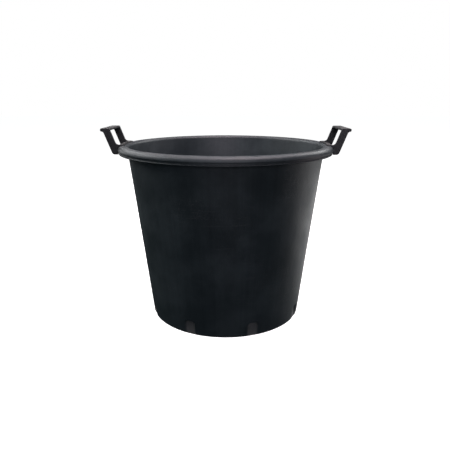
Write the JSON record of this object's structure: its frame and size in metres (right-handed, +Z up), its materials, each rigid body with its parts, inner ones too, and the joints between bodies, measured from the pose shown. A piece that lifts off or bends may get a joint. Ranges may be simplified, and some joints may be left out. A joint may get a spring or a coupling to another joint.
{
  "type": "mortar mixing tub",
  "caption": "Round tapered tub for mixing and carrying mortar, with a hollow rolled rim, stand-off recesses round the foot and upright clip-on handles.",
  "frame": {"origin": "centre of the base, on the floor line", "axes": "+Z up along the tub's axis, +X through the middle of the right-hand handle, +Y to the back"},
  "size_m": [0.614, 0.544, 0.4885],
  "materials": {
    "tub_plastic": "black moulded polyethylene, satin, lightly scuffed",
    "handle_plastic": "black moulded polypropylene, satin, fine grain"
  },
  "bodies": {
    "root": {"tub_body": "tub_plastic", "handle_right": "handle_plastic", "handle_left": "handle_plastic"}
  },
  "joints": []
}
